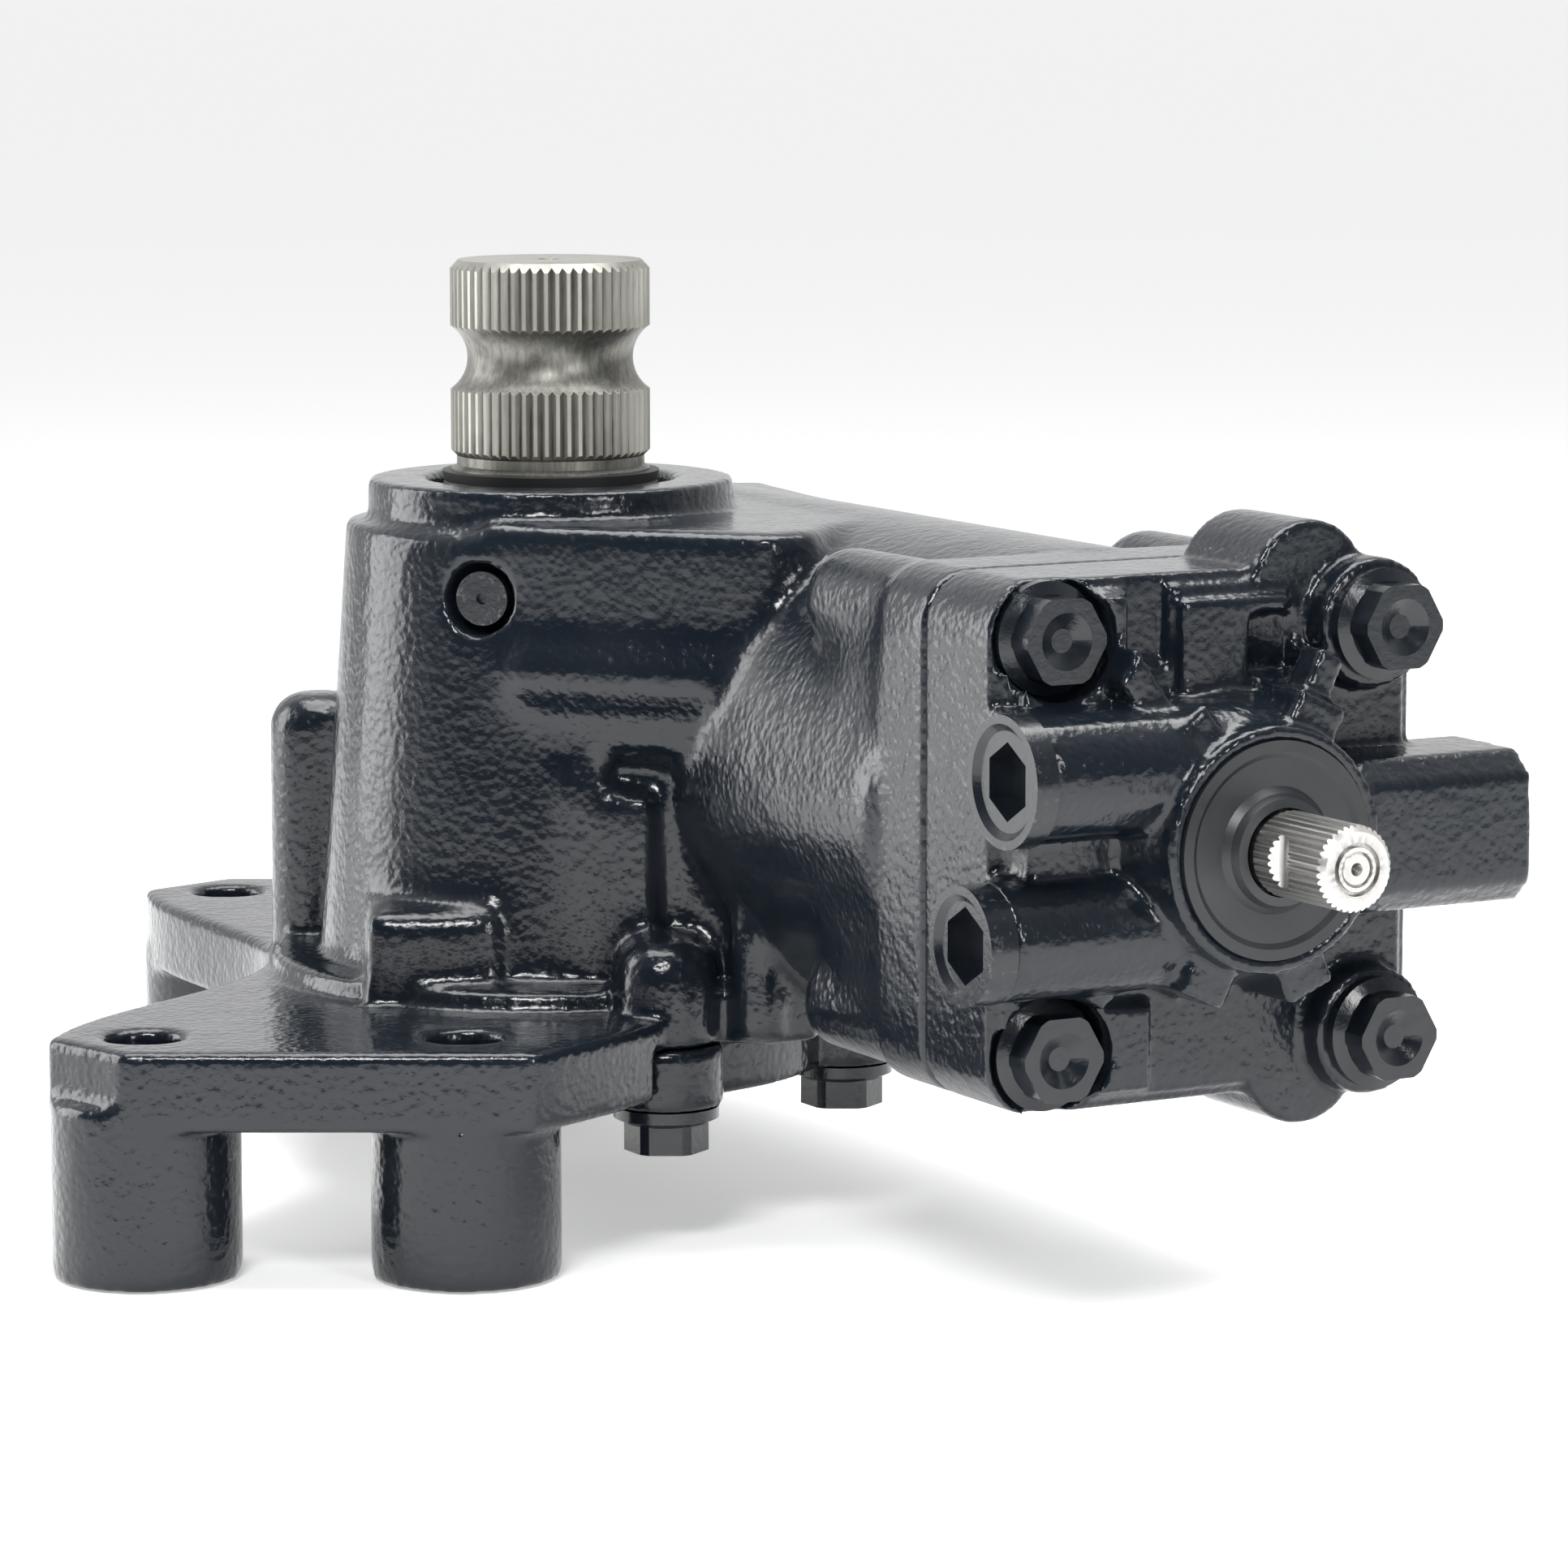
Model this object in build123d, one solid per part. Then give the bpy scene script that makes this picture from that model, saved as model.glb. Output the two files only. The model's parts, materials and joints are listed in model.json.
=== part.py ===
"""Recirculating-ball worm gearbox of an integral power steering gear, in millimetres.

The origin is the centre of the four-bolt mounting pattern on the mounting plane, +Z runs up
along the sector shaft. The worm axis is level and crosses beside the sector shaft, and its
input end points toward -Y and +X.
"""
from build123d import *
from math import acos, cos, floor, hypot, pi, radians, sin, tan
import os

# ---- layout -----------------------------------------------------------------------------
WORM_ANGLE = 29.0            # the input end points this far from -Y toward +X
AXIS_OFFSET = 66.0           # between the worm axis and the sector axis
WORM_HEIGHT = 126.0          # worm axis above the mounting plane
SECTOR_X, SECTOR_Y = 61.0, -11.0
FIT = 0.05                   # radial running fit
SEAT = 0.02                  # radial gap of pieces that sit in a bore of the same body

# ---- mounting flange --------------------------------------------------------------------
MOUNT_X, MOUNT_Y = 42.0, 121.0       # half spacings of the bolt pattern
MOUNT_HOLE_R = 10.0
BOSS_R = 25.1
BOSS_TOP, FLANGE_TOP = 42.0, 63.3
FLANGE_FRONT, FLANGE_REAR = -146.5, 146.5

# ---- sector tower -----------------------------------------------------------------------
TOWER_BASE_R, TOWER_TOP_R = 66.0, 56.5
TOWER_TOP, COLLAR_TOP, COLLAR_R = 189.0, 200.5, 50.5
CHAMBER_R, CHAMBER_TOP = 44.0, 152.5
WALL_TOP, WALL_SLOPE = 192.2, -18.4   # wall between tower and cylinder
RIDGE_Z, RIDGE_R, RIDGE_LENGTH = 152.5, 12.5, 63.0
SEAL_BORE_R, SEAL_BORE_FLOOR = 34.0, 186.2
UPPER_BEARING_LOW = 170.0

# ---- power cylinder ---------------------------------------------------------------------
BORE_R, CYLINDER_R = 54.0, 67.0
CYLINDER_REAR, BORE_REAR = -128.0, -110.0
JOINT_S, JOINT_FLANGE_REAR = 201.0, 176.0
PLATE_LEFT, PLATE_RIGHT, PLATE_LOW, PLATE_HIGH = -64.0, 60.0, -67.0, 66.5
PLATE_CORNER = 14.0
GALLERY_R, GALLERY_UP, GALLERY_S = 3.0, 60.5, -104.0
GALLERY_PLUG_LOW, GALLERY_PLUG_TOP = 62.5, 66.0
COLUMN_R, DOME = 14.0, 0.7   # cast columns round the bolt holes, and how round their ends are
DOWEL_R = 2.5
DOWELS = ((-52.0, 30.0), (50.0, -33.0))
BLEED_ANGLE, BLEED_Z = -108.0, 172.0

# ---- side cover -------------------------------------------------------------------------
COVER_LOW, COVER_TOP, COVER_R = 38.0, 55.0, 78.0
COVER_HUB_TOP, COVER_HUB_R = 75.5, 43.8
COVER_BOSS_LOW, COVER_BOSS_R, COVER_FLOOR = 32.0, 26.0, 48.0
COVER_LOBE_R = 15.5
# radius and direction of each cover bolt about the sector axis, and the top of its column
COVER_BOLTS = ((81.0, -66.0, 84.0), (81.0, -6.0, 84.0), (77.0, 54.0, 90.0),
               (77.0, 114.0, 110.0), (72.0, 158.0, 137.0))
COVER_BOLT_TIP = 67.5
BOLT_R = 7.0                 # M14
BOLT_FLANGE_R, BOLT_HEX = 14.2, 21.0

# ---- sector shaft -----------------------------------------------------------------------
SHAFT_R, LOWER_JOURNAL_R = 27.5, 25.0
SHAFT_LOW, SHAFT_TOP = 50.0, 260.3
SERRATIONS, SERRATION_DEPTH = 56, 1.25
SERRATION_LOW = 206.5
NECK_Z, NECK_R, NECK_HALF = 233.5, 22.8, 8.8
GEAR_LOW, GEAR_TOP = 100.0, 152.0
TEETH_FULL = 12              # teeth on a full circle; the sector carries three of them
PITCH_R = 35.0
PRESSURE_ANGLE = 25.0
ADDENDUM, DEDENDUM = 5.0, 6.2
BACKLASH = 0.5
ROOT_R = PITCH_R - DEDENDUM
NEEDLE_R = 1.95

# ---- ball nut and worm ------------------------------------------------------------------
PISTON_R = 53.9
PISTON_REAR, PISTON_FRONT = -78.0, 118.0
RACK_HALF = 68.0             # half length of the flat that carries the rack
NUT_BORE_R, NUT_BORE_REAR = 16.6, -50.0
LEAD, BALL_PITCH_R, BALL_R, GROOVE_R = 12.0, 16.0, 3.97, 4.25
CIRCUIT_S, CIRCUIT_TURNS = 38.0, 3
WORM_TURNS = 8.25            # turns of the track on the worm
WORM_R, WORM_NECK_R = 15.4, 14.0
THREAD_REAR, THREAD_FRONT = -20.0, 88.0
WORM_FLANGE = (30.0, 160.0, 168.0)   # radius, rear face, front face
DRIVE_FLANGE = (23.5, 176.2, 180.0)
RING_S, RING_WIDTH, RING_DEPTH = 108.0, 4.0, 4.5

# ---- valve and input shaft --------------------------------------------------------------
SPIGOT_REAR, SPIGOT_R = 146.0, 53.9
THRUST_R, THRUST_FRONT = 34.0, 175.0
VALVE_BORE_R, VALVE_BORE_FRONT = 24.05, 233.0
SLEEVE_R, ROTOR_R = 24.0, 16.0
SLEEVE_REAR, SLEEVE_FRONT = 180.2, 231.0
SLEEVE_RINGS = (188.0, 201.0, 213.6, 226.0)
ROTOR_REAR, ROTOR_FRONT = 181.0, 232.0
INPUT_JOURNAL_R, INPUT_R, INPUT_END = 12.5, 10.75, 299.0
INPUT_SERRATIONS, INPUT_SERRATION_DEPTH, INPUT_SERRATION_REAR = 36, 0.65, 268.5
BAR_R, BAR_HEAD_R = 3.2, 4.5
PIN_R, DRIVE_PIN_B = 2.0, 20.0
LOWER_PIN_S, UPPER_PIN_S = 148.0, 228.0
SEAL_PLANE = 265.0           # front ring of the valve housing

# ---- valve housing ----------------------------------------------------------------------
PLATE_FRONT = 236.0
BOLTS_LEFT, BOLTS_RIGHT, BOLTS_UP = -47.0, 43.0, 52.0
LEFT_SEAT, RIGHT_SEAT = 229.5, 244.0
VALVE_BOLTS = ((BOLTS_LEFT, BOLTS_UP, LEFT_SEAT), (BOLTS_LEFT, -BOLTS_UP, LEFT_SEAT),
               (BOLTS_RIGHT, BOLTS_UP, RIGHT_SEAT), (BOLTS_RIGHT, -BOLTS_UP, RIGHT_SEAT))
VALVE_BOLT_END = 180.0
CORNER_REAR = 126.0          # rear end of the columns behind the valve housing bolts
PLUG_UP, PLUG_DOWN = 20.0, -20.7
PLUG_UP_S, PLUG_DOWN_S = 250.0, 243.0
PORT_FACE = 81.0
PORTS = ((230.0, -9.0), (248.0, 9.0))   # s and height of the two hose ports
PORT_R, PORT_THREAD = 8.25, 11.0
SEAT_BORE_R, PORT_DEPTH = 7.4, 20.0
GALLERY_TURN = 208.6         # drilling from the valve bore up to the gallery

A_DIR = Vector(sin(radians(WORM_ANGLE)), -cos(radians(WORM_ANGLE)), 0)
B_DIR = Vector(cos(radians(WORM_ANGLE)), sin(radians(WORM_ANGLE)), 0)
WORM_POINT = Vector(SECTOR_X, SECTOR_Y, WORM_HEIGHT) + B_DIR * AXIS_OFFSET
# local axes of WORM: X to the right of the input end, Y up, Z along the worm axis (s)
WORM = Plane(origin=WORM_POINT, x_dir=B_DIR, z_dir=A_DIR)
# local axes of SECTOR: X toward the worm axis, Y toward the rear end, Z up
SECTOR = Plane(origin=(SECTOR_X, SECTOR_Y, 0), x_dir=B_DIR, z_dir=(0, 0, 1))
BASE = (Align.CENTER, Align.CENTER, Align.MIN)


def rod(radius, s0, s1, b=0.0, up=0.0):
    """A cylinder along the worm axis from s0 to s1."""
    return WORM * Pos(b, up, s0) * Cylinder(radius, s1 - s0, align=BASE)


def cone_rod(r0, r1, s0, s1, b=0.0, up=0.0):
    """A cone along the worm axis."""
    return WORM * Pos(b, up, s0) * Cone(r0, r1, s1 - s0, align=BASE)


def tube_rod(outer, inner, s0, s1, b=0.0, up=0.0):
    """A tube along the worm axis."""
    return rod(outer, s0, s1, b, up) - rod(inner, s0 - 1, s1 + 1, b, up)


def cross_rod(radius, b0, b1, s, up):
    """A cylinder across the worm axis from b0 to b1."""
    return WORM * Pos(b0, up, s) * Rot(0, 90, 0) * Cylinder(radius, b1 - b0, align=BASE)


def block(b0, b1, up0, up1, s0, s1):
    """A box in the axes of the worm."""
    centre = Pos((b0 + b1) / 2, (up0 + up1) / 2, (s0 + s1) / 2)
    return WORM * centre * Box(b1 - b0, up1 - up0, s1 - s0)


def post(radius, z0, z1, x=SECTOR_X, y=SECTOR_Y):
    """An upright cylinder, on the sector axis unless told otherwise."""
    return Pos(x, y, z0) * Cylinder(radius, z1 - z0, align=BASE)


def domed(radius, length):
    """A column standing on Z = 0 with a round top."""
    column = Cylinder(radius, length, align=BASE)
    return fillet(column.edges().sort_by(Axis.Z)[-1], DOME * radius)


def upright_rod(radius, up0, up1, s, b=0.0):
    """A vertical cylinder placed by the worm axis."""
    return WORM * Pos(b, up0, s) * Rot(-90, 0, 0) * Cylinder(radius, up1 - up0, align=BASE)


def tube(outer, inner, z0, z1, x=SECTOR_X, y=SECTOR_Y):
    """An upright tube."""
    return post(outer, z0, z1, x, y) - post(inner, z0 - 1, z1 + 1, x, y)


def turned(profile):
    """A solid of revolution on the sector axis from (radius, z) points."""
    face = make_face(Polyline(*[(r, 0, z) for r, z in profile], close=True))
    return Pos(SECTOR_X, SECTOR_Y, 0) * revolve(face, Axis.Z)


def turned_rod(profile):
    """A solid of revolution on the worm axis from (radius, s) points."""
    face = make_face(Polyline(*[(r, 0, s) for r, s in profile], close=True))
    return WORM * revolve(face, Axis.Z)


def hexagon(flats, height):
    """A hexagonal prism standing on Z = 0."""
    return extrude(RegularPolygon(flats / 2, 6, major_radius=False), height)


def joined(shapes):
    """The union of a list of shapes."""
    result = shapes[0]
    for shape in shapes[1:]:
        result = result + shape
    return result


def star(outer, depth, teeth, height):
    """A prism with V-shaped serrations all round."""
    points = []
    for tooth in range(teeth):
        for part, radius in ((0.0, outer - depth), (0.34, outer), (0.66, outer)):
            angle = 2 * pi * (tooth + part) / teeth
            points.append((radius * cos(angle), radius * sin(angle)))
    return extrude(make_face(Polyline(*points, close=True)), height)


def rounded_plate(b0, b1, up0, up1, s0, s1, corner):
    """A plate square to the worm axis with rounded corners."""
    outline = Pos((b0 + b1) / 2, (up0 + up1) / 2) * RectangleRounded(b1 - b0, up1 - up0, corner)
    return WORM * Pos(0, 0, s0) * extrude(outline, s1 - s0)


def rib(angle, r0, r1, width, s0, s1):
    """A straight rib standing out from the worm axis at an angle from local X."""
    bar = Pos((r0 + r1) / 2, 0, (s0 + s1) / 2) * Box(r1 - r0, width, s1 - s0)
    return WORM * Rot(0, 0, angle) * bar


def save(name, shape):
    """Write one node's solids."""
    solids = shape if isinstance(shape, list) else [shape]
    flat = [solid for piece in solids for solid in piece.solids()]
    export_step(flat[0] if len(flat) == 1 else Compound(children=flat), f"parts/{name}.step")


def cover_bolt_place(bolt):
    """Row position of one cover bolt."""
    radius, direction, _ = bolt
    angle = radians(direction)
    return SECTOR_X + radius * cos(angle), SECTOR_Y + radius * sin(angle)


def mounting_flange():
    """The waisted flange plate and its four bosses, without holes."""
    x, corner = MOUNT_X + BOSS_R, 22.0
    left = Spline((-x, FLANGE_FRONT + corner), (-48.5, -74), (-24, -26), (-20, 4),
                  (-40.5, 59), (-x, FLANGE_REAR - corner))
    rear = Polyline((-x, FLANGE_REAR - corner), (-x + corner, FLANGE_REAR),
                    (x - corner, FLANGE_REAR), (x, FLANGE_REAR - corner))
    right = Spline((x, FLANGE_REAR - corner), (96, 60), (118, 0), (106, -74), (x, FLANGE_FRONT + 6))
    front = Polyline((x, FLANGE_FRONT + 6), (x - 6, FLANGE_FRONT),
                     (-x + corner, FLANGE_FRONT), (-x, FLANGE_FRONT + corner))
    plate = Pos(0, 0, BOSS_TOP) * extrude(make_face([left, rear, right, front]), FLANGE_TOP - BOSS_TOP)
    recess = [post(COVER_R + 4, BOSS_TOP - 1, COVER_TOP)]
    for bolt in COVER_BOLTS:
        recess.append(post(COVER_LOBE_R + 4, BOSS_TOP - 1, COVER_TOP, *cover_bolt_place(bolt)))
    plate = plate - joined(recess)
    bosses = [post(BOSS_R, 0, BOSS_TOP + 6, sx * MOUNT_X, sy * MOUNT_Y)
              for sx in (-1, 1) for sy in (-1, 1)]
    return joined([plate] + bosses)


def front_wall():
    """The wall between tower and cylinder, with its ridge, ribs and pocket."""
    plan = make_face(Polyline((44, -64), (62, -72), (122, -92), (134, -84), (150, -30), (120, 62),
                              (60, 48), close=True))
    wall = Pos(0, 0, COVER_TOP) * extrude(plan, WALL_TOP - COVER_TOP)
    pocket = Pos(95, -83, 100) * Rot(0, 0, WALL_SLOPE) * Box(38, 16, 62)
    panel = Pos(84, -73.5, 96) * Rot(0, 0, WALL_SLOPE) * Box(16, 12, 50)
    ridge_start = Pos(60, -63, RIDGE_Z) * Rot(0, 0, WALL_SLOPE)
    ridge_end = ridge_start * Pos(RIDGE_LENGTH, 0, 0)
    ridge = ridge_start * Rot(0, 90, 0) * Cylinder(RIDGE_R, RIDGE_LENGTH, align=BASE)
    ribs = [post(5, FLANGE_TOP - 6, 127, 69, -73), post(8, FLANGE_TOP - 6, 152, 119, -86.5)]
    foot = Pos(31, -66, 72) * Box(36, 26, 34)
    return joined([wall - pocket, panel, ridge, foot, ridge_start * Sphere(RIDGE_R),
                   ridge_end * Sphere(RIDGE_R)] + ribs)


def gear_housing():
    """Cast iron housing: flange, sector tower and power cylinder."""
    tower = Pos(SECTOR_X, SECTOR_Y, COVER_TOP) * Cone(
        TOWER_BASE_R, TOWER_TOP_R, TOWER_TOP - COVER_TOP, align=BASE)
    pad = post(COVER_R, COVER_TOP, COVER_TOP + 14)
    columns = [Pos(*cover_bolt_place(bolt), COVER_TOP) * domed(COLUMN_R, bolt[2] - COVER_TOP)
               for bolt in COVER_BOLTS]
    corner = Rot(180, 0, 0) * domed(COLUMN_R, JOINT_S - 1 - CORNER_REAR)
    corners = [WORM * Pos(b, up, JOINT_S - 1) * corner for b, up, _ in VALVE_BOLTS]
    body = joined([
        mounting_flange(), tower, post(COLLAR_R, TOWER_TOP - 1, COLLAR_TOP), pad, front_wall(),
        rod(CYLINDER_R, CYLINDER_REAR, JOINT_FLANGE_REAR + 2),
        rounded_plate(PLATE_LEFT, PLATE_RIGHT, PLATE_LOW, PLATE_HIGH, JOINT_FLANGE_REAR, JOINT_S,
                      PLATE_CORNER),
    ] + columns + corners)
    mouth = WORM * Pos(0, 0, JOINT_S - 2) * Cone(BORE_R, BORE_R + 2, 2, align=BASE)
    bores = [rod(BORE_R, BORE_REAR, JOINT_S + 1), mouth,
             post(CHAMBER_R, COVER_TOP - 20, CHAMBER_TOP),
             post(SHAFT_R + 1.5, CHAMBER_TOP - 1, UPPER_BEARING_LOW + 1),
             post(33.5, UPPER_BEARING_LOW, SEAL_BORE_FLOOR),
             post(SEAL_BORE_R, SEAL_BORE_FLOOR - 0.5, COLLAR_TOP + 1),
             post(35.6, 193.2, 195.0),
             rod(GALLERY_R, GALLERY_S - 2, JOINT_S + 1, 0, GALLERY_UP),
             upright_rod(GALLERY_R - 0.5, BORE_R - 4, CYLINDER_R + 2, GALLERY_S),
             upright_rod(5.0, GALLERY_PLUG_LOW, CYLINDER_R + 2, GALLERY_S)]
    for sx in (-1, 1):
        for sy in (-1, 1):
            bores.append(post(MOUNT_HOLE_R, -1, FLANGE_TOP + 10, sx * MOUNT_X, sy * MOUNT_Y))
    for bolt in COVER_BOLTS:
        bores.append(post(BOLT_R + SEAT, COVER_TOP - 1, COVER_BOLT_TIP + 1, *cover_bolt_place(bolt)))
    for b, up, _ in VALVE_BOLTS:
        bores.append(rod(BOLT_R + SEAT, VALVE_BOLT_END - 2, JOINT_S + 1, b, up))
    for b, up in DOWELS:
        bores.append(rod(DOWEL_R, JOINT_S - 6.5, JOINT_S + 1, b, up))
    bores.append(bleed_screw(9.7, 9.0) + bleed_screw(6.0, 18.0))
    for bore in bores:
        body = body - bore
    return body


def bleed_screw(radius, depth, proud=4.0):
    """A cylinder square to the tower wall at the bleed plug."""
    seat = TOWER_TOP_R + 0.8
    turn = Pos(SECTOR_X, SECTOR_Y, BLEED_Z) * Rot(0, 0, BLEED_ANGLE)
    return turn * Pos(seat - depth, 0, 0) * Rot(0, 90, 0) * Cylinder(radius, depth + proud, align=BASE)


def bleed_plug():
    """Round plug sunk in the tower wall."""
    head = bleed_screw(7.3, 8.9, -3.0)
    dimple = bleed_screw(1.6, 4.5, 0.0)
    return head + bleed_screw(6.0 - SEAT, 17.0, -8.8) - dimple


def side_cover():
    """Round cover that closes the sector chamber and carries the lower bearing."""
    lobes = [post(COVER_LOBE_R, COVER_LOW, COVER_TOP, *cover_bolt_place(bolt)) for bolt in COVER_BOLTS]
    body = joined([post(COVER_R, COVER_LOW, COVER_TOP), post(COVER_HUB_R, COVER_TOP - 1, COVER_HUB_TOP),
                   post(COVER_BOSS_R, COVER_BOSS_LOW, COVER_LOW + 1)] + lobes)
    bearing_bore = post(31.0, COVER_FLOOR, COVER_HUB_TOP + 1)
    cuts = [bearing_bore, post(8.0 + SEAT, COVER_BOSS_LOW - 1, COVER_FLOOR + 1),
            tube(COVER_HUB_R + 1, COVER_HUB_R - 2.6, 62.0, 66.0)]
    for bolt in COVER_BOLTS:
        cuts.append(post(BOLT_R + 0.5, COVER_LOW - 1, COVER_TOP + 1, *cover_bolt_place(bolt)))
    return body - joined(cuts)


def flange_bolt(length, dish=True):
    """A flange bolt: the seat is Z = 0, the head stands on +Z and the shank hangs on -Z."""
    flange = Cylinder(BOLT_FLANGE_R, 3.0, align=BASE) + Pos(0, 0, 3.0) * Cone(
        BOLT_FLANGE_R, BOLT_HEX / 2 + 0.5, 1.5, align=BASE)
    head = hexagon(BOLT_HEX, 12.0) & Cylinder(BOLT_HEX / 2 + 0.9, 12.0, align=BASE)
    bolt = flange + head + Pos(0, 0, -length) * Cylinder(BOLT_R, length + 1, align=BASE)
    if dish:
        bolt = bolt - Pos(0, 0, 9.5) * Cone(3.0, 8.0, 3.0, align=BASE)
    return bolt


def side_cover_bolts():
    """Five M14 flange bolts, heads down."""
    bolt = Rot(180, 0, 0) * flange_bolt(COVER_BOLT_TIP - COVER_LOW, dish=False)
    return [Pos(*cover_bolt_place(place), COVER_LOW) * bolt for place in COVER_BOLTS]


def valve_housing_bolts():
    """Four M14 flange bolts with dished heads."""
    return [WORM * Pos(b, up, seat) * flange_bolt(seat - VALVE_BOLT_END) for b, up, seat in VALVE_BOLTS]


def involute_half_angle(radius):
    """Half the tooth's angle at a radius, in radians."""
    def inv(angle):
        return tan(angle) - angle
    pressure = radians(PRESSURE_ANGLE)
    at_pitch = (pi * PITCH_R / TEETH_FULL - BACKLASH) / 2 / PITCH_R
    local = acos(min(1.0, PITCH_R * cos(pressure) / radius))
    return at_pitch + inv(pressure) - inv(local)


def sector_tooth(direction):
    """One involute tooth, pointing along a direction in the SECTOR axes."""
    base = PITCH_R * cos(radians(PRESSURE_ANGLE))
    tip = PITCH_R + ADDENDUM
    steps = 7
    radii = [base + (tip - base) * k / steps for k in range(steps + 1)]
    flank = [(ROOT_R - 2, involute_half_angle(base))] + [(r, involute_half_angle(r)) for r in radii]
    points = [(r * cos(-a), r * sin(-a)) for r, a in flank]
    points += [(r * cos(a), r * sin(a)) for r, a in reversed(flank)]
    tooth = extrude(make_face(Polyline(*points, close=True)), GEAR_TOP - GEAR_LOW)
    return SECTOR * Pos(0, 0, GEAR_LOW) * Rot(0, 0, direction) * tooth


def sector_shaft():
    """Output shaft with the sector teeth and the serrated top."""
    envelope = turned([(0, SHAFT_LOW), (LOWER_JOURNAL_R - 1, SHAFT_LOW), (LOWER_JOURNAL_R, SHAFT_LOW + 1),
                       (LOWER_JOURNAL_R, 84), (ROOT_R, 86), (ROOT_R, GEAR_TOP - 1), (SHAFT_R, GEAR_TOP),
                       (SHAFT_R, 203), (25.9, 204), (25.9, SERRATION_LOW), (0, SERRATION_LOW)])
    top = turned([(0, SERRATION_LOW), (25.9, SERRATION_LOW), (SHAFT_R, SERRATION_LOW + 1.6),
                  (SHAFT_R, SHAFT_TOP - 2.4), (SHAFT_R - 2.2, SHAFT_TOP), (0, SHAFT_TOP)])
    teeth = SECTOR * Pos(0, 0, SERRATION_LOW - 1) * star(
        SHAFT_R, SERRATION_DEPTH, SERRATIONS, SHAFT_TOP - SERRATION_LOW + 2)
    neck_radius = (NECK_HALF ** 2 + (SHAFT_R - NECK_R) ** 2) / (2 * (SHAFT_R - NECK_R))
    ring = Pos(SECTOR_X, SECTOR_Y, NECK_Z) * Torus(NECK_R + neck_radius, neck_radius)
    cuts = [ring, post(17.0, SHAFT_LOW - 1, 61.0), post(9.0, 60.0, 66.0),
            Pos(SECTOR_X, SECTOR_Y, SHAFT_TOP - 5) * Cone(0.5, 3.5, 5, align=BASE)]
    solid = joined([envelope, top & teeth] + [sector_tooth(a) for a in (-30, 0, 30)])
    return solid - joined(cuts)


def needles(ring_radius, z0, z1, count):
    """A ring of upright needle rollers about the sector axis."""
    return [SECTOR * Rot(0, 0, 360 * k / count) * Pos(ring_radius, 0, z0) * Cylinder(
        NEEDLE_R, z1 - z0, align=BASE) for k in range(count)]


def helix_groove(s0, turns, radius=GROOVE_R):
    """A ball track: a round bar wound on the ball pitch radius from s0, starting at local +X."""
    path = Helix(pitch=LEAD, height=LEAD * turns, radius=BALL_PITCH_R)
    section = Plane(path @ 0, z_dir=path % 0) * Circle(radius)
    return WORM * Pos(0, 0, s0) * sweep(section, path=path, is_frenet=True)


CIRCUIT_START = CIRCUIT_S - LEAD * CIRCUIT_TURNS / 2
CIRCUIT_END = CIRCUIT_S + LEAD * CIRCUIT_TURNS / 2
TUBE_B, TUBE_R, TUBE_BORE_R, POCKET_FLOOR = 40.0, 5.4, 4.2, 33.0


def worm_shaft():
    """Worm with its ball track, thrust flange and valve drive flange."""
    flange_r, flange_rear, flange_front = WORM_FLANGE
    drive_r, drive_rear, drive_front = DRIVE_FLANGE
    body = turned_rod([(0, THREAD_REAR), (WORM_R - 2, THREAD_REAR), (WORM_R, THREAD_REAR + 2),
                       (WORM_R, THREAD_FRONT), (WORM_NECK_R, THREAD_FRONT + 2),
                       (WORM_NECK_R, flange_rear), (flange_r, flange_rear), (flange_r, flange_front),
                       (18.5, flange_front), (18.5, drive_rear), (drive_r, drive_rear),
                       (drive_r, drive_front), (0, drive_front)])
    socket = rod(11.0, 161.0, drive_front + 1) & block(-12, 12, -9.5, 9.5, 150, 190)
    cuts = [helix_groove(CIRCUIT_START - 3 * LEAD, WORM_TURNS), socket,
            rod(BAR_HEAD_R + FIT, 138, 162), cross_rod(PIN_R + SEAT, -20, 20, LOWER_PIN_S, 0),
            rod(PIN_R + SEAT, drive_rear - 1, drive_front + 1, DRIVE_PIN_B, 0)]
    return body - joined(cuts)


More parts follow.
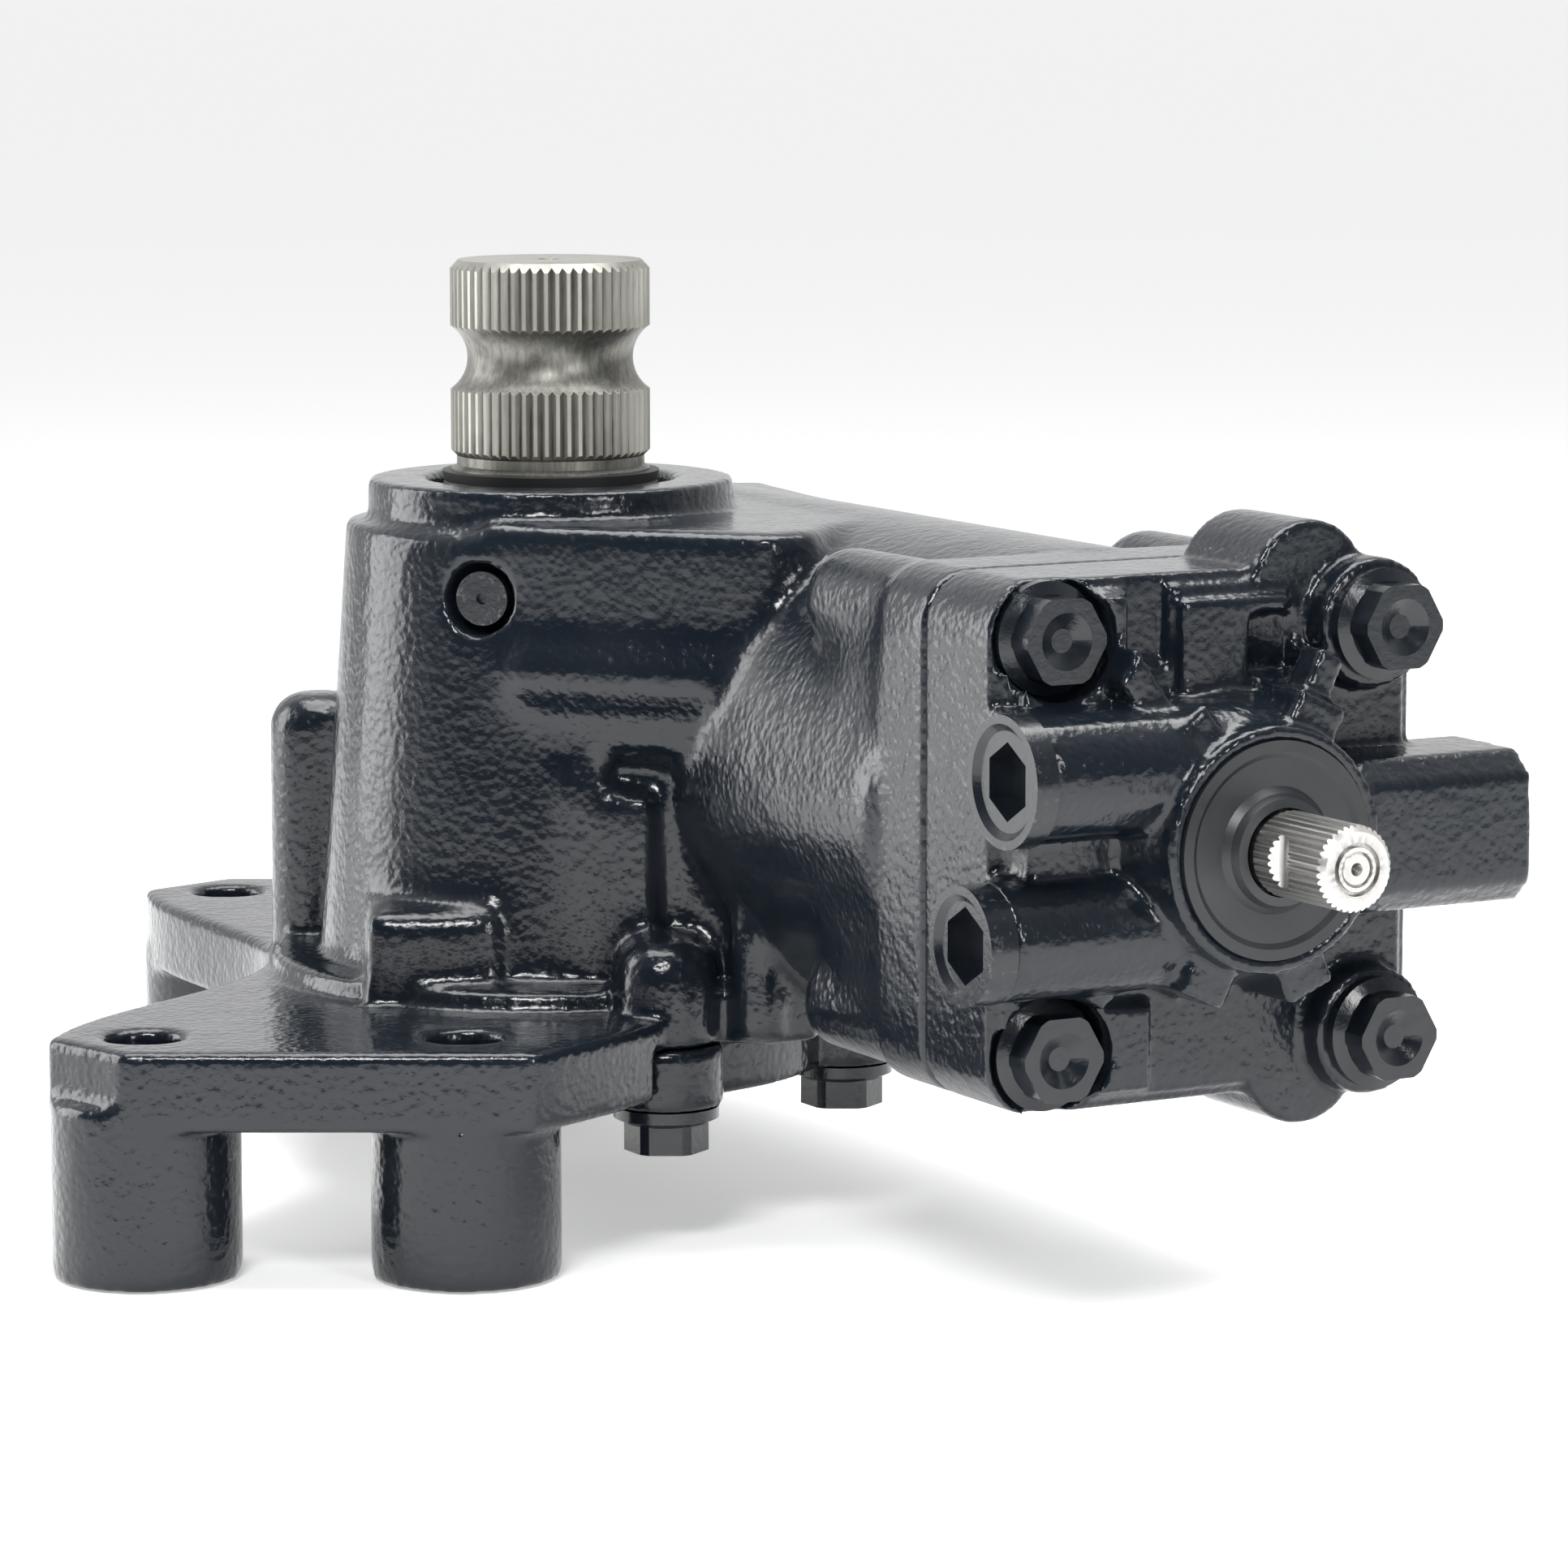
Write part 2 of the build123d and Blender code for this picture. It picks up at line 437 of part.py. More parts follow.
def ball_nut_piston():
    """Rack piston: ball nut inside, rack on the side of the sector."""
    body = rod(PISTON_R, PISTON_REAR, PISTON_FRONT)
    flat = block(-60, -(AXIS_OFFSET - PITCH_R + ADDENDUM), -60, 60, -RACK_HALF, RACK_HALF)
    pitch_line = AXIS_OFFSET - PITCH_R
    slope = tan(radians(PRESSURE_ANGLE))
    half = pi * PITCH_R / TEETH_FULL / 2
    deep, high = pitch_line - ADDENDUM - 1.0, pitch_line + ADDENDUM + 4.0
    spaces = []
    for tooth in (-1, 0, 1):
        centre = tooth * 2 * pi * PITCH_R / TEETH_FULL
        narrow = half - (pitch_line - deep) * slope
        wide = half + (high - pitch_line) * slope
        outline = Polyline((-high, 0, centre - wide), (-deep, 0, centre - narrow),
                           (-deep, 0, centre + narrow), (-high, 0, centre + wide), close=True)
        space = extrude(make_face(outline), 60, dir=(0, 1, 0), both=True)
        spaces.append(WORM * space)
    bore = rod(NUT_BORE_R, NUT_BORE_REAR, PISTON_FRONT + 1)
    ring_groove = tube_rod(PISTON_R + 1, PISTON_R - RING_DEPTH - 0.1, RING_S, RING_S + RING_WIDTH)
    core = rod(26.0, PISTON_REAR - 1, NUT_BORE_REAR - 14)
    pocket = block(POCKET_FLOOR, 60, -15, 15, CIRCUIT_START - 10, CIRCUIT_END + 10)
    cuts = [flat, bore, ring_groove, core, pocket,
            helix_groove(CIRCUIT_START, CIRCUIT_TURNS)]
    cuts += spaces
    for s in (CIRCUIT_START, CIRCUIT_END):
        cuts.append(cross_rod(TUBE_R + SEAT, 12, POCKET_FLOOR + 1, s, 0))
    for up in (-10.5, 10.5):
        cuts.append(cross_rod(2.0 + SEAT, 25, POCKET_FLOOR + 1, CIRCUIT_S, up))
    return body - joined(cuts)


def ball_places():
    """Centres of the balls in the track and in the return tube, in the WORM axes."""
    length = 2 * pi * CIRCUIT_TURNS * hypot(BALL_PITCH_R, LEAD / 2 / pi)
    count = floor(length / (2 * BALL_R + 0.3))
    places = []
    for k in range(count):
        turn = CIRCUIT_TURNS * (k + 0.5) / count
        angle = 2 * pi * turn
        places.append((BALL_PITCH_R * cos(angle), BALL_PITCH_R * sin(angle), CIRCUIT_START + LEAD * turn))
    crossing = floor((CIRCUIT_END - CIRCUIT_START - 12) / (2 * BALL_R + 0.12))
    for k in range(crossing):
        offset = (k - (crossing - 1) / 2) * (2 * BALL_R + 0.12)
        places.append((TUBE_B, 0, CIRCUIT_S + offset))
    for s in (CIRCUIT_START, CIRCUIT_END):
        places.append((26.5, 0, s))
    return places


def ball_return_tube():
    """U-shaped tube that brings the balls back."""
    bend = 6.9
    path = FilletPolyline((21.0, 0, CIRCUIT_START), (TUBE_B, 0, CIRCUIT_START),
                          (TUBE_B, 0, CIRCUIT_END), (21.0, 0, CIRCUIT_END), radius=bend)
    start = Plane(path @ 0, z_dir=path % 0)
    outer = sweep(start * Circle(TUBE_R), path=path)
    inner = sweep(start * Circle(TUBE_BORE_R), path=path)
    return WORM * (outer - inner)


def return_tube_clamp():
    """Saddle that holds the return tube in its pocket."""
    saddle = block(POCKET_FLOOR, 47.5, -14, 14, CIRCUIT_S - 5, CIRCUIT_S + 5)
    channel = rod(TUBE_R + SEAT, CIRCUIT_S - 9, CIRCUIT_S + 9, TUBE_B, 0)
    slot = block(POCKET_FLOOR - 1, TUBE_B, -TUBE_R - SEAT, TUBE_R + SEAT, CIRCUIT_S - 9, CIRCUIT_S + 9)
    holes = [cross_rod(2.0 + SEAT, POCKET_FLOOR - 1, 50, CIRCUIT_S, up) for up in (-10.5, 10.5)]
    return saddle - joined([channel, slot] + holes)


def clamp_screws():
    """Two small screws of the clamp."""
    screws = []
    for up in (-10.5, 10.5):
        head = cross_rod(3.3, 47.5, 50.0, CIRCUIT_S, up) - cross_rod(1.3, 48.8, 51.0, CIRCUIT_S, up)
        screws.append(head + cross_rod(2.0, 26.0, 47.6, CIRCUIT_S, up))
    return screws


def thrust_rollers():
    """Radial needle rollers on both sides of the worm's thrust flange."""
    count = 24
    middle = ((WORM_FLANGE[1] - 3.5), (WORM_FLANGE[2] + 3.5))
    return [WORM * Pos(0, 0, s) * Rot(0, 0, 360 * k / count) * Pos(20.5, 0, 0) * Rot(0, 90, 0) * Cylinder(
        NEEDLE_R, 9.0, align=BASE) for s in middle for k in range(count)]


def valve_sleeve():
    """Rotary valve sleeve with seal-ring grooves and radial ports."""
    body = tube_rod(SLEEVE_R, ROTOR_R + FIT, SLEEVE_REAR, SLEEVE_FRONT)
    cuts = [rod(PIN_R + SEAT, SLEEVE_REAR - 1, 186.5, DRIVE_PIN_B, 0)]
    for s in SLEEVE_RINGS:
        cuts.append(tube_rod(SLEEVE_R + 1, SLEEVE_R - 2.0, s, s + 2.4))
    for s in (196.0, 208.6, 221.0):
        cuts.append(tube_rod(SLEEVE_R + 1, SLEEVE_R - 1.2, s - 3, s + 3))
        for k in range(3):
            hole = Pos(0, 0, s) * Rot(0, 0, 30 + 120 * k) * Rot(0, 90, 0) * Cylinder(2.0, 60, align=BASE)
            cuts.append(WORM * hole)
    return body - joined(cuts)


def input_shaft():
    """Serrated input shaft with the valve rotor on its inner end."""
    body = turned_rod([(0, 162.5), (9.9, 162.5), (10.9, 163.5), (10.9, ROTOR_REAR), (ROTOR_R, ROTOR_REAR),
                       (ROTOR_R, ROTOR_FRONT), (INPUT_JOURNAL_R, ROTOR_FRONT), (INPUT_JOURNAL_R, 262),
                       (INPUT_R - 0.9, 263), (INPUT_R - 0.9, INPUT_SERRATION_REAR),
                       (0, INPUT_SERRATION_REAR)])
    tail_flats = [block(-12, 12, sy * 13 - 4, sy * 13 + 4, 160, ROTOR_REAR) for sy in (-1, 1)]
    end = turned_rod([(0, INPUT_SERRATION_REAR), (INPUT_R - 0.9, INPUT_SERRATION_REAR),
                      (INPUT_R, INPUT_SERRATION_REAR + 1.2), (INPUT_R, INPUT_END - 1.6),
                      (INPUT_R - 1.6, INPUT_END), (0, INPUT_END)])
    teeth = WORM * Pos(0, 0, INPUT_SERRATION_REAR - 1) * star(
        INPUT_R, INPUT_SERRATION_DEPTH, INPUT_SERRATIONS, INPUT_END - INPUT_SERRATION_REAR + 2)
    notch = WORM * Pos(-INPUT_R - 2.6, 0, INPUT_SERRATION_REAR + 12) * Rot(90, 0, 0) * Cylinder(5.0, 40)
    groove = tube_rod(6.6, 5.4, INPUT_END - 1.2, INPUT_END + 1)
    cuts = tail_flats + [notch, groove, rod(BAR_R + 0.8, 160, 225),
                         rod(BAR_HEAD_R + SEAT, 220, INPUT_END + 1),
                         upright_rod(PIN_R + SEAT, -20, 20, UPPER_PIN_S)]
    for k in range(6):
        cuts.append(WORM * Rot(0, 0, 60 * k) * Pos(ROTOR_R + 1, 0, 190) * Cylinder(3.0, 34, align=BASE))
    return joined([body, end & teeth]) - joined(cuts)


def torsion_bar():
    """Thin spring bar between the worm and the input shaft."""
    bar = turned_rod([(0, 141), (BAR_HEAD_R, 141), (BAR_HEAD_R, 156), (BAR_R, 160), (BAR_R, 221),
                      (BAR_HEAD_R, 225), (BAR_HEAD_R, INPUT_END - 1.0), (BAR_HEAD_R - 0.8, INPUT_END - 0.2),
                      (0, INPUT_END - 0.2)])
    centre = WORM * Pos(0, 0, INPUT_END - 3.2) * Cone(0.3, 1.7, 3.1, align=BASE)
    lower = cross_rod(PIN_R + 0.45, -10, 10, LOWER_PIN_S, 0)
    upper = upright_rod(PIN_R + SEAT, -20, 20, UPPER_PIN_S)
    return bar - joined([centre, lower, upper])


def valve_housing():
    """Cast iron housing of the rotary valve."""
    edge = 3.0
    plate = rounded_plate(PLATE_LEFT, PLATE_RIGHT, PLATE_LOW, PLATE_HIGH, JOINT_S, PLATE_FRONT - edge,
                          PLATE_CORNER)
    raised = rounded_plate(PLATE_LEFT + edge, PLATE_RIGHT - edge, PLATE_LOW + edge, PLATE_HIGH - edge,
                           JOINT_S, PLATE_FRONT, PLATE_CORNER - edge)
    ears = [rod(17.0, JOINT_S, PLATE_FRONT, 28.0, 61.0), rod(17.0, JOINT_S, PLATE_FRONT, 27.5, -59.0)]
    bosses = [rod(16.5, JOINT_S, RIGHT_SEAT, BOLTS_RIGHT, sy * BOLTS_UP) for sy in (-1, 1)]
    centre = [cone_rod(39.0, 31.0, PLATE_FRONT - 2, SEAL_PLANE - 5),
              rod(31.0, PLATE_FRONT, SEAL_PLANE - 0.8)]
    ridges = [cross_rod(15.5, PLATE_LEFT, 0, 246.0, PLUG_UP),
              cross_rod(15.0, PLATE_LEFT - 6, 0, 242.0, PLUG_DOWN),
              block(PLATE_LEFT, 0, PLUG_UP - 15.5, PLUG_UP + 15.5, PLATE_FRONT - 3, 246),
              block(PLATE_LEFT, 0, PLUG_DOWN - 15, PLUG_DOWN + 15, PLATE_FRONT - 3, 242)]
    port = block(30, PORT_FACE, -20, 19, 219, 259)
    port = chamfer(port.edges().filter_by(Axis((0, 0, 0), B_DIR)), 6)
    ribs = [rib(126, 25, 60, 9, 230, 249), rib(64, 25, 52, 8, 230, 255), rib(64, 28, 40, 15, 230, 259),
            rib(126, 28, 40, 15, 230, 259), rib(-68, 28, 41, 14, 230, 258), rib(-115, 28, 41, 14, 230, 258),
            rib(-138, 30, 62, 10, 230, 244), rib(180, 10, 60, 16, 230, 246)]
    pads = [block(-58, -28, 34, 62, 230, 240), block(-12, 20, 34, 60, 230, 239.5),
            block(-58, -20, -62, -40, 230, 239)]
    spigot = rod(SPIGOT_R, SPIGOT_REAR, JOINT_S + 1)
    body = joined([plate, raised, port, spigot] + ears + bosses + centre + ridges + ribs + pads)
    cuts = [rod(THRUST_R, SPIGOT_REAR - 1, THRUST_FRONT),
            rod(VALVE_BORE_R, THRUST_FRONT - 1, VALVE_BORE_FRONT),
            rod(17.5, VALVE_BORE_FRONT - 1, 251.5), rod(22.0, 251, SEAL_PLANE + 1), rod(23.2, 260.2, 261.9),
            rod(27.5, 262.0, SEAL_PLANE + 1),
            tube_rod(SPIGOT_R + 1, SPIGOT_R - 2.6, 190.0, 194.0),
            block(-26, -14, 44, 70, 233, 245), block(8, 22, 40, 56, 234, 245)]
    for b, up, seat in VALVE_BOLTS:
        cuts += [rod(BOLT_R + 0.5, JOINT_S - 1, seat + 1, b, up),
                 rod(BOLT_FLANGE_R + 1.2, seat, seat + 30, b, up)]
    cuts += [cross_rod(11.0, -90, -38, PLUG_UP_S, PLUG_UP),
             cross_rod(10.0, -90, -42, PLUG_DOWN_S, PLUG_DOWN),
             cross_rod(17.5, -90, PLATE_LEFT, PLUG_UP_S, PLUG_UP),
             cross_rod(16.0, -90, PLATE_LEFT - 6, PLUG_DOWN_S, PLUG_DOWN),
             cross_rod(7.0, -50, -27, PLUG_DOWN_S, PLUG_DOWN),
             rod(3.5, 214, PLUG_UP_S, -39.5, PLUG_UP), cross_rod(3.5, -39.5, -10, 214, 15),
             rod(3.5, 206, PLUG_DOWN_S, -34, PLUG_DOWN), cross_rod(3.5, -34, -10, 206, -17)]
    (s_low, up_low), (s_high, up_high) = PORTS
    for s, up in PORTS:
        cuts.append(cross_rod(PORT_R, PORT_FACE - PORT_THREAD, PORT_FACE + 1, s, up))
        cuts.append(cross_rod(SEAT_BORE_R, PORT_FACE - PORT_DEPTH, PORT_FACE - 2, s, up))
        cuts.append(cross_rod(11.2, PORT_FACE - 1.0, PORT_FACE + 1, s, up))
    cuts += [cross_rod(4.5, 20, PORT_FACE - 10, s_low, up_low),
             cross_rod(4.5, 38, PORT_FACE - 10, s_high, up_high),
             rod(3.5, 209, s_high, 40, up_high), cross_rod(3.5, 20, 40, 211, up_high)]
    for b, up in DOWELS:
        cuts.append(rod(DOWEL_R, JOINT_S - 1, JOINT_S + 6.5, b, up))
    cuts += [rod(GALLERY_R, JOINT_S - 1, GALLERY_TURN + 5, 0, GALLERY_UP),
             upright_rod(GALLERY_R - 0.5, 20, GALLERY_UP, GALLERY_TURN)]
    return body - joined(cuts)


def port_plug(rim_radius, body_radius, face, seat, tip, s, up):
    """Hex-socket plug facing away from the port boss."""
    rim = cross_rod(rim_radius, face, seat, s, up)
    socket = WORM * Pos(face - 1, up, s) * Rot(0, 90, 0) * Rot(0, 0, 30) * hexagon(17.0, 9.0)
    funnel = Cone(rim_radius - 2.2, rim_radius - 4.0, 1.5, align=BASE)
    dish = WORM * Pos(face - 0.01, up, s) * Rot(0, 90, 0) * funnel
    return rim + cross_rod(body_radius - SEAT, seat - 1, tip, s, up) - socket - dish


def relief_spring():
    """Small compression spring behind the relief poppet."""
    path = Helix(pitch=3.0, height=9.0, radius=4.2)
    wire = sweep(Plane(path @ 0, z_dir=path % 0) * Circle(0.7), path=path, is_frenet=True)
    return WORM * Pos(-41.0, PLUG_DOWN, PLUG_DOWN_S) * Rot(0, 90, 0) * wire


def port_seats():
    """Flared tube seats pressed in the two ports."""
    seats = []
    for s, up in PORTS:
        floor_b = PORT_FACE - PORT_DEPTH
        seat = cross_rod(SEAT_BORE_R - SEAT, floor_b, floor_b + 4, s, up)
        nose = WORM * Pos(floor_b + 3.9, up, s) * Rot(0, 90, 0) * Cone(6.6, 3.6, 4.5, align=BASE)
        seats.append(seat + nose - cross_rod(2.6, floor_b - 1, floor_b + 12, s, up))
    return seats


def dust_cover():
    """Rubber disc round the input shaft."""
    return turned_rod([(11.15, 263.0), (14.6, 262.1), (27.4, 262.1), (27.4, 264.6), (24.6, 264.6),
                       (23.2, 263.6), (16.0, 263.6), (14.4, 265.4), (13.4, 267.6), (11.15, 268.0)])


def sector_dust_seal():
    """Flared lip seal at the top of the tower."""
    return turned([(SHAFT_R + FIT, 195.3), (33.9, 195.3), (33.9, 196.8), (30.2, 197.4), (29.4, 199.6),
                   (30.0, 202.4), (SHAFT_R + FIT, 202.6)])


def adjusting_screw():
    """Screw that sets the end play of the sector shaft."""
    socket = Pos(SECTOR_X, SECTOR_Y, 19.0) * hexagon(8.0, 7.0)
    return post(13.0, 54.5, 59.0) + post(8.0, 20.0, 55.0) - socket


def worm_bearing_nut():
    """Ring nut that closes the worm's thrust bearing, with four wrench holes."""
    holes = [rod(3.0, SPIGOT_REAR - 1, 150.0, 25.5 * b, 25.5 * up)
             for b, up in ((1, 0), (0, 1), (-1, 0), (0, -1))]
    return tube_rod(THRUST_R - SEAT, 17.0, SPIGOT_REAR, 153.0) - joined(holes)


def input_rollers():
    """Needle rollers round the input shaft."""
    roller = Pos(14.05, 0, 235) * Cylinder(1.45, 14, align=BASE)
    return [WORM * Rot(0, 0, 15 * k) * roller for k in range(24)]


def snap_ring(outer, inner, height, opening):
    """A retaining ring with a gap, lying on Z = 0."""
    ring = Cylinder(outer, height, align=BASE) - Cylinder(inner, 3 * height)
    return ring - Pos(outer, 0, height / 2) * Box(2 * (outer - inner) + 2, opening, 3 * height)


os.makedirs("parts", exist_ok=True)

save("gear_housing", gear_housing())
save("side_cover", side_cover())
save("side_cover_bolts", side_cover_bolts())
save("side_cover_seal", tube(CHAMBER_R - SEAT, COVER_HUB_R - 2.5, 62.3, 65.7))
save("bleed_plug", bleed_plug())

# sector shaft and what carries it
save("sector_shaft", sector_shaft())
save("sector_lower_bearing_cup", tube(31.0 - SEAT, 29.0, 48.5, 75.0))
save("sector_lower_bearing_rollers", needles(27.0, 51.0, 73.0, 38))
save("sector_upper_bearing_cup", tube(33.5 - SEAT, 31.5, UPPER_BEARING_LOW + 0.1, 186.0))
save("sector_upper_bearing_rollers", needles(29.5, 171.5, 184.5, 42))
save("sector_backup_washer", tube(SEAL_BORE_R - SEAT, SHAFT_R + 0.3, 186.3, 188.0))
save("sector_oil_seal", tube(SEAL_BORE_R - SEAT, SHAFT_R + FIT, 188.0, 193.1))
save("sector_snap_ring", Pos(SECTOR_X, SECTOR_Y, 193.3) * Rot(0, 0, 60) * snap_ring(35.4, 31.5, 1.6, 9.0))
save("sector_dust_seal", sector_dust_seal())
save("adjusting_screw", adjusting_screw())
save("adjuster_lock_nut", Pos(SECTOR_X, SECTOR_Y, 23.0) * hexagon(24.0, 9.0) - post(8.0 + SEAT, 20, 34))
save("adjuster_retainer", tube(17.0 - SEAT, 8.6, 50.2, 54.0))

# worm, ball nut and their bearings
save("worm_shaft", worm_shaft())
save("ball_nut_piston", ball_nut_piston())
save("piston_ring", tube_rod(BORE_R - FIT, PISTON_R - RING_DEPTH + 0.1,
                             RING_S + 0.1, RING_S + RING_WIDTH - 0.1))
save("recirculating_balls", [WORM * Pos(*place) * Sphere(BALL_R) for place in ball_places()])
save("ball_return_tube", ball_return_tube())
save("return_tube_clamp", return_tube_clamp())
save("clamp_screws", clamp_screws())
save("worm_thrust_rollers", thrust_rollers())
save("worm_outer_thrust_washers", [tube_rod(31.5, 19.2, 153.0, 154.5), tube_rod(31.5, 19.2, 173.5, 175.0)])
save("worm_inner_thrust_washers", [tube_rod(31.0, 14.1, 158.5, 160.0), tube_rod(31.0, 18.6, 168.0, 169.5)])
save("worm_bearing_nut", worm_bearing_nut())

# rotary valve and input shaft
save("valve_sleeve", valve_sleeve())
save("valve_sleeve_rings", [tube_rod(SLEEVE_R, SLEEVE_R - 1.9, s + 0.1, s + 2.3) for s in SLEEVE_RINGS])
save("valve_drive_pin", rod(PIN_R, 176.3, 186.0, DRIVE_PIN_B, 0))
save("input_shaft", input_shaft())
save("torsion_bar", torsion_bar())
save("torsion_bar_lower_pin", cross_rod(PIN_R, -13.8, 13.8, LOWER_PIN_S, 0))
save("torsion_bar_upper_pin", upright_rod(PIN_R, -15.5, 15.5, UPPER_PIN_S))
save("input_bearing_cup", tube_rod(17.5 - SEAT, 15.6, 233.5, 250.5))
save("input_bearing_rollers", input_rollers())
save("input_oil_seal", tube_rod(22.0 - SEAT, INPUT_JOURNAL_R + FIT, 251.7, 260.0))
save("input_snap_ring", WORM * Pos(0, 0, 260.3) * snap_ring(23.0, 19.5, 1.5, 7.0))
save("input_dust_cover", dust_cover())

# valve housing and what is on it
save("valve_housing", valve_housing())
save("valve_housing_bolts", valve_housing_bolts())
save("valve_housing_seal", tube_rod(BORE_R - SEAT, SPIGOT_R - 2.5, 190.3, 193.7))
save("locating_dowels", [rod(DOWEL_R - SEAT, JOINT_S - 6, JOINT_S + 6, b, up) for b, up in DOWELS])
save("upper_port_plug", port_plug(16.5, 11.0, -70.5, -64.2, -42.0, PLUG_UP_S, PLUG_UP))
save("lower_port_plug", port_plug(15.0, 10.0, -78.0, -70.2, -46.0, PLUG_DOWN_S, PLUG_DOWN))
save("relief_valve_poppet", cross_rod(5.6, -30.5, -27.5, PLUG_DOWN_S, PLUG_DOWN))
save("relief_valve_spring", relief_spring())
save("port_seats", port_seats())
save("gallery_plug", upright_rod(5.0 - SEAT, GALLERY_PLUG_LOW + 0.1, GALLERY_PLUG_TOP, GALLERY_S))
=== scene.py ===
"""Looks of a recirculating-ball worm gearbox: gloss black castings, bare steel shafts, rubber seals."""
import json
import math
import bmesh
import bpy
from mathutils import Matrix, Vector


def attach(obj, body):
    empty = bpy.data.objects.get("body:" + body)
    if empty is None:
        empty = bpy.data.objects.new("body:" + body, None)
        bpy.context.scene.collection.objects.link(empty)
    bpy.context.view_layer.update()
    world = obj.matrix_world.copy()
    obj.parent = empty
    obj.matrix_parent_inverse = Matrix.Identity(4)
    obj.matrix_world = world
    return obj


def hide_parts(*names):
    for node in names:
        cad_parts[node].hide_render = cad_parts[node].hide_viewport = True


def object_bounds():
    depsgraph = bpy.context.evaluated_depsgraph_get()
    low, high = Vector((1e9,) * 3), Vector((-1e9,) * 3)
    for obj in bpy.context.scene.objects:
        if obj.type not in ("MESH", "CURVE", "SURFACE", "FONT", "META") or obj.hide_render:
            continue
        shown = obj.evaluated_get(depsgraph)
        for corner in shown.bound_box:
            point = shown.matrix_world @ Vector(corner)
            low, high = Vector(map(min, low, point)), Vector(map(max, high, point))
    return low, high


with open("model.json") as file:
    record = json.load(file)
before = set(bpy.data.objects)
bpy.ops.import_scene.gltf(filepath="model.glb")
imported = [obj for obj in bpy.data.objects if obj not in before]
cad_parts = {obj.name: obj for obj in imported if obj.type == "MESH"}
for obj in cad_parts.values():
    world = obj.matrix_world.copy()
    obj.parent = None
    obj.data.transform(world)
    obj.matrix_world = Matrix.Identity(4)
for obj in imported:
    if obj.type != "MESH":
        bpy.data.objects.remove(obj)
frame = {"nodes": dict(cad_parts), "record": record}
CAD_LOW, CAD_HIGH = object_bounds()
NODES = frame["nodes"]

# ---- axes of the worm, in metres ---------------------------------------------------------
WORM_JOINT = next(j for j in frame["record"]["behaviour"]["joints"] if j["name"] == "worm_turn")
SECTOR_JOINT = next(j for j in frame["record"]["behaviour"]["joints"] if j["name"] == "sector_turn")
A = Vector(WORM_JOINT["axis"]).normalized()
UP = Vector((0, 0, 1))
B = UP.cross(A)
CENTRE = Vector(WORM_JOINT["pos_m"])
SECTOR = Vector(SECTOR_JOINT["pos_m"])
WORM_FRAME = Matrix.Translation(CENTRE) @ Matrix((B, UP, A)).transposed().to_4x4()
MM = 0.001
PLATE_SHIFT = -2.0                      # the joint flange's middle is left of the worm axis
BLEED = SECTOR + Vector((-0.0178, -0.0548, 0.046))
MOST_TRIANGLES = 190000
SAME_POINT = 1e-6
RING_COUNT = 72
# where the housing's front wall is blended into tower and cylinder, in metres: none, all
BLEND_STEPS = 80
SOFT_LOW, SOFT_TOP = (0.066, 0.076), (-0.1945, -0.186)
SOFT_REAR, SOFT_RIGHT = (0.03, 0.05), (-0.16, -0.15)
SOFT_ROUND_PLUG = (0.0125, 0.018)
# ridge round the upper plug's bore: ends, height, axis and radius of its skin and of the bore
RIDGE_LEFT, RIDGE_RIGHT, RIDGE_UP = -62.0, -20.0, 20.0
RIDGE_S, RIDGE_SKIN_R = 246.0, 16.3
RIDGE_BORE_S, RIDGE_BORE_R = 250.0, 11.1
RIDGE_STEP, RIDGE_STEPS = 5, 12
# flare behind the joint flange, and the webs from the tower to two cover bolt columns
FLARE_REAR, FLARE_FRONT, FLARE_BORE_R, TOWER_WALL_R = 92, 180, 56.0, 50.0
COLUMN_WEBS = ((158, 72, 0.133), (114, 77, 0.104))   # direction, distance in mm, top in metres
WEB_WIDTH, WEB_LOW = 0.024, 0.056


def worm_point(b, up, s):
    """A point given in millimetres across, above and along the worm axis."""
    return WORM_FRAME @ Vector((b * MM, up * MM, s * MM))


# ---- materials ---------------------------------------------------------------------------
def new_material(name):
    """An empty node material and its principled shader."""
    material = bpy.data.materials.new(name)
    material.use_nodes = True
    return material, material.node_tree.nodes["Principled BSDF"]


def add_node(material, kind, **inputs):
    """A shader node with some of its inputs set."""
    node = material.node_tree.nodes.new(kind)
    for key, value in inputs.items():
        node.inputs[key.replace("_", " ")].default_value = value
    return node


def link(material, source, target):
    """Joins an output socket to an input socket."""
    material.node_tree.links.new(source, target)


def place(material, scale=(1, 1, 1)):
    """Object coordinates, stretched."""
    coord = add_node(material, "ShaderNodeTexCoord")
    mapping = add_node(material, "ShaderNodeMapping")
    mapping.inputs["Scale"].default_value = scale
    link(material, coord.outputs["Object"], mapping.inputs["Vector"])
    return mapping.outputs["Vector"]


def noise(material, vector, scale, detail=3.0, rough=0.5):
    """A noise texture's value."""
    node = add_node(material, "ShaderNodeTexNoise", Scale=scale, Detail=detail, Roughness=rough)
    link(material, vector, node.inputs["Vector"])
    return node.outputs["Fac"]


def cells(material, vector, scale, smooth=0.6):
    """A smooth cell texture's distance."""
    node = add_node(material, "ShaderNodeTexVoronoi")
    node.feature = "SMOOTH_F1"
    node.inputs["Scale"].default_value = scale
    node.inputs["Smoothness"].default_value = smooth
    link(material, vector, node.inputs["Vector"])
    return node.outputs["Distance"]


def ramp(material, value, stops):
    """A colour ramp over a value; stops are (position, colour)."""
    node = add_node(material, "ShaderNodeValToRGB")
    while len(node.color_ramp.elements) < len(stops):
        node.color_ramp.elements.new(0.5)
    for element, (position, colour) in zip(node.color_ramp.elements, stops):
        element.position = position
        element.color = (*colour, 1.0)
    link(material, value, node.inputs["Fac"])
    return node.outputs["Color"]


